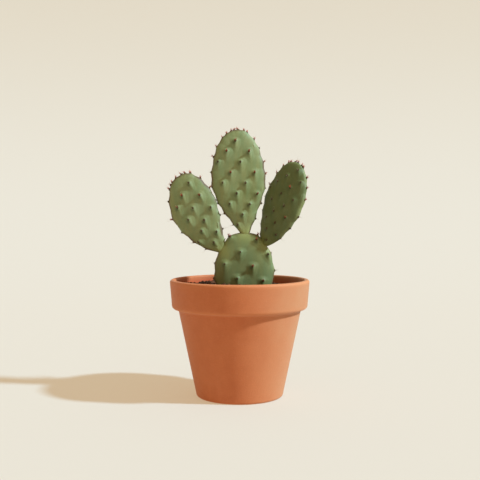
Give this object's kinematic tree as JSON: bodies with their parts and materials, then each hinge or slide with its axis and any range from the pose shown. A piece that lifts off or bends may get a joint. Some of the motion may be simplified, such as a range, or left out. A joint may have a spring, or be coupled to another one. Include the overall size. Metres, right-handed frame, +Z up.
{
  "type": "potted paddle cactus",
  "caption": "Young prickly pear with flat oval pads on a base pad, rooted in soil in a plain round terracotta pot with a deep rim.",
  "frame": {"origin": "on the pot's axis, at the underside of its foot (within about a millimetre of the bottom centre of the whole part's box)", "axes": "+Z up along the pot's axis; the pads' broad faces look along -Y, which is the front; +X is to the right seen from the front"},
  "size_m": [0.1125, 0.11, 0.2135],
  "materials": {
    "terracotta": "matte",
    "soil": "matte",
    "root": "matte",
    "old_pad_skin": "matte",
    "pad_skin": "matte",
    "spines": "matte"
  },
  "bodies": {
    "root": {"pot": "terracotta", "soil": "soil", "drain_crock": "terracotta", "roots": "root", "pad_base": "old_pad_skin", "pad_center": "pad_skin", "pad_left": "pad_skin", "pad_right": "pad_skin", "base_spines_01": "spines", "base_spines_02": "spines", "base_spines_03": "spines", "base_spines_04": "spines", "base_spines_05": "spines", "center_spines_01": "spines", "center_spines_02": "spines", "center_spines_03": "spines", "center_spines_04": "spines", "center_spines_05": "spines", "center_spines_06": "spines", "center_spines_07": "spines", "center_spines_08": "spines", "center_spines_09": "spines", "center_spines_10": "spines", "center_spines_11": "spines", "center_spines_12": "spines", "center_spines_13": "spines", "left_spines_01": "spines", "left_spines_02": "spines", "left_spines_03": "spines", "left_spines_04": "spines", "left_spines_05": "spines", "left_spines_06": "spines", "left_spines_07": "spines", "left_spines_08": "spines", "left_spines_09": "spines", "right_spines_01": "spines", "right_spines_02": "spines", "right_spines_03": "spines", "right_spines_04": "spines", "right_spines_05": "spines", "right_spines_06": "spines", "right_spines_07": "spines", "right_spines_08": "spines", "right_spines_09": "spines", "right_spines_10": "spines", "right_spines_11": "spines", "right_spines_12": "spines", "right_spines_13": "spines"}
  },
  "joints": []
}
